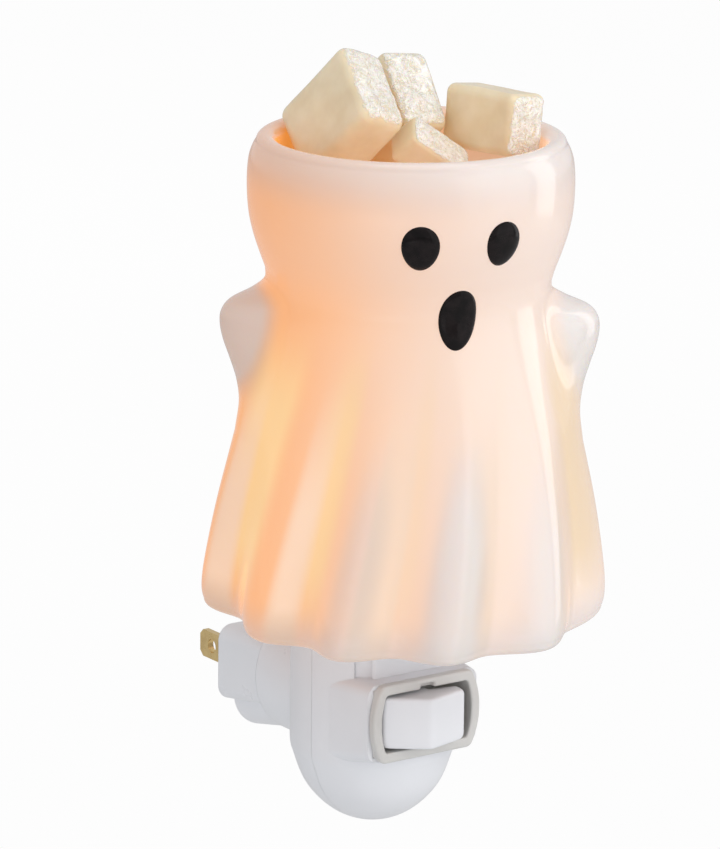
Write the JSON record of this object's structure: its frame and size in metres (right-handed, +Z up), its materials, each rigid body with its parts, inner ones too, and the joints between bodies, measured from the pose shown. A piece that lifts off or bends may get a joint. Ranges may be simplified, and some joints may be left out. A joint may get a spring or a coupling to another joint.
{
  "type": "plug-in wax melt warmer",
  "caption": "Plug-in wax melt warmer: a folded porcelain ghost shade with a dish of wax in its head, over a bulb, on a switched housing with a swivelling plug.",
  "frame": {"origin": "where the plug's swivel axis meets the wall, in the plane of the plug's rear face", "axes": "+Z up, +Y into the wall, -Y towards the room, +X to the right as seen from the room"},
  "size_m": [0.0897, 0.1182, 0.1754],
  "materials": {
    "porcelain": "glossy translucent white glaze, warm from the bulb inside",
    "black_glaze": "glossy black",
    "wax": "ivory wax, slightly translucent",
    "white_plastic": "satin white",
    "grey_plastic": "satin grey-beige",
    "dark_plastic": "black phenolic",
    "brass": "bright",
    "steel": "zinc plated",
    "cap_metal": "bright",
    "bulb_glass": "clear",
    "lit_filament": "glowing tungsten",
    "live_cover": "black insulation",
    "neutral_cover": "white insulation"
  },
  "bodies": {
    "plug": {"plug_body": "white_plastic", "live_blade": "brass", "neutral_blade": "brass", "swivel_retainer": "steel", "live_plug_lead": "live_cover", "neutral_plug_lead": "neutral_cover"},
    "base": {"rear_shell": "white_plastic", "front_shell": "white_plastic", "housing_screws": "steel", "switch_frame": "grey_plastic", "rocker_pin": "steel", "fixed_contact": "brass", "common_contact": "brass", "live_lead": "live_cover", "neutral_lead": "neutral_cover", "switched_lead": "live_cover", "shade_seat": "white_plastic", "socket_body": "dark_plastic", "socket_shell": "brass", "socket_centre_contact": "brass"},
    "rocker": {"rocker": "white_plastic", "moving_contact": "brass"},
    "shade": {"ghost_shade": "porcelain", "left_eye": "black_glaze", "right_eye": "black_glaze", "mouth": "black_glaze"},
    "wax": {"wax_melt_left": "wax", "wax_melt_back": "wax", "wax_melt_right": "wax", "wax_melt_front": "wax"},
    "bulb_end": {"bulb_tip": "cap_metal"},
    "bulb": {"bulb_insulator": "dark_plastic", "bulb_cap": "cap_metal", "bulb_glass": "bulb_glass", "bulb_stem": "bulb_glass", "bulb_filament": "lit_filament"}
  },
  "joints": [
    {"name": "lamp_swivel", "type": "hinge", "parent": "plug", "child": "base", "pos_m": [0, 0, 0], "axis": [0, 1, 0], "range_deg": [-90, 90]},
    {"name": "rocker_switch", "type": "hinge", "parent": "base", "child": "rocker", "pos_m": [0, -0.0563, 0], "axis": [0, 0, 1], "range_deg": [0, 22]},
    {"name": "shade_lift", "type": "slide", "parent": "base", "child": "shade", "axis": [0, 0, 1], "range_m": [0, 0.11]},
    {"name": "wax_lift", "type": "slide", "parent": "shade", "child": "wax", "axis": [0, 0, 1], "range_m": [0, 0.05]},
    {"name": "bulb_travel", "type": "slide", "parent": "base", "child": "bulb_end", "axis": [0, 0, 1], "range_m": [0, 0.00762]},
    {"name": "bulb_spin", "type": "hinge", "parent": "bulb_end", "child": "bulb", "pos_m": [0, -0.0545, 0.03], "axis": [0, 0, 1], "range_deg": [0, 1080]}
  ],
  "couplings": [
    {"joint": "bulb_spin", "follows": "bulb_travel", "rad_per_m": 2473.7}
  ]
}
